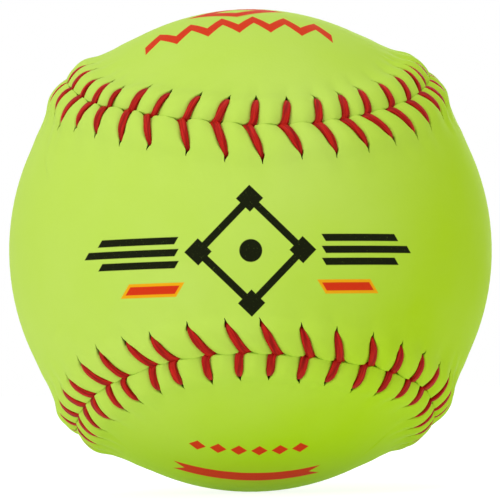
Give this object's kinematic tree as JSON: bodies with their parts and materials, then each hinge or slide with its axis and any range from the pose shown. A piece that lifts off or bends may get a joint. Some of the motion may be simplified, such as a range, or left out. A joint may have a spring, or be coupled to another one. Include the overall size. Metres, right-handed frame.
{
  "type": "softball",
  "caption": "Twelve-inch softball: a cored, yarn-wound ball in a two-panel cover that is laced together along one raised, continuous seam.",
  "frame": {"origin": "centre of the ball", "axes": "+Y away from the picture's camera, through the centres of both panels' waists; the front panel's waist faces -Y and its lobes reach round to +X and -X; the back panel's lobes reach round to +Z and -Z"},
  "size_m": [0.096, 0.096, 0.096],
  "materials": {
    "cover": "satin optic-yellow synthetic leather with a fine pebble grain",
    "thread": "waxed two-ply red thread, flattened by tension",
    "core": "moulded cork and rubber",
    "winding": "wound polyester and cotton yarn",
    "cement": "dried latex cement"
  },
  "bodies": {
    "root": {"core": "core", "winding": "winding", "cement_coat": "cement", "cover_panel_front": "cover", "cover_panel_back": "cover", "seam_thread_first": "thread", "seam_thread_second": "thread"}
  },
  "joints": []
}
